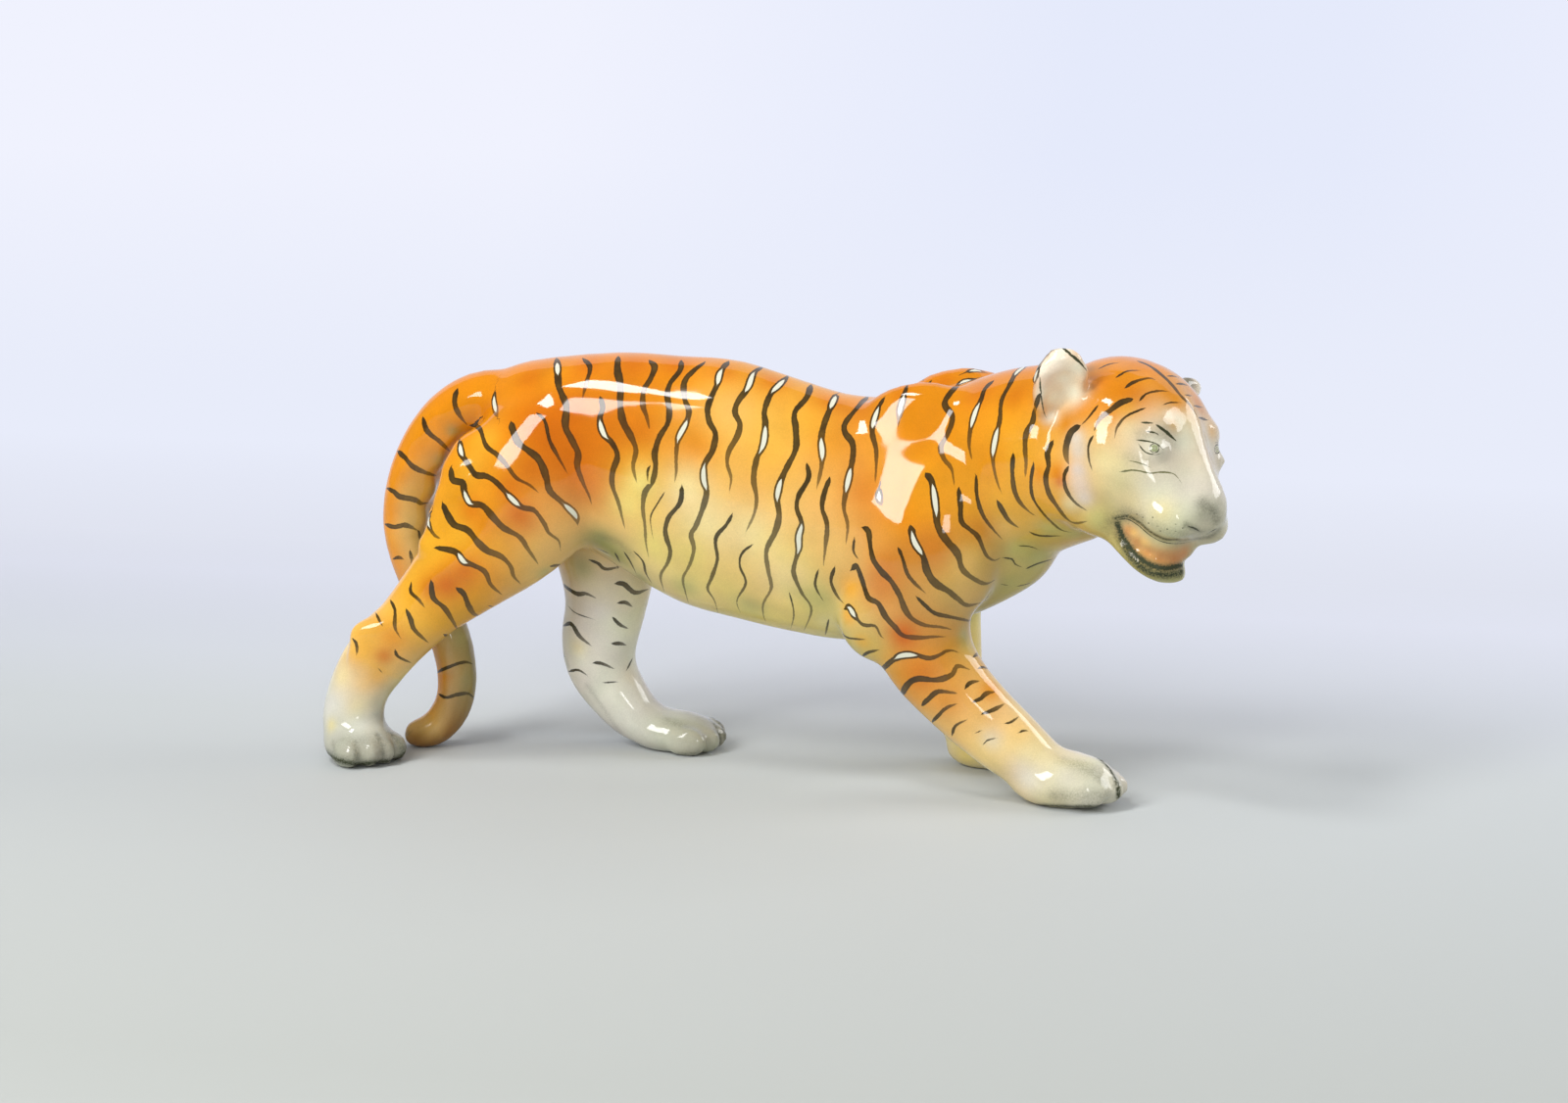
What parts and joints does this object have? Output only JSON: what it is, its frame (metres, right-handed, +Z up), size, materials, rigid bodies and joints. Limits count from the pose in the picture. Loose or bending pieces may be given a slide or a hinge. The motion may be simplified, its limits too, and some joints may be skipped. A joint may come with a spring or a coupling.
{
  "type": "tiger figurine",
  "caption": "Glazed porcelain figurine of a walking tiger with its head turned to its right, painted orange and cream with thin dark stripes.",
  "frame": {"origin": "on the plane that the paws stand on, under the middle of the figurine's bounding box", "axes": "+X from the tail towards the chest, +Y to the tiger's left, +Z up"},
  "size_m": [0.3028, 0.0804, 0.1455],
  "materials": {
    "glaze": "high gloss glaze over orange, cream and grey painting with dark brushed stripes"
  },
  "bodies": {
    "root": {"tiger": "glaze"}
  },
  "joints": []
}
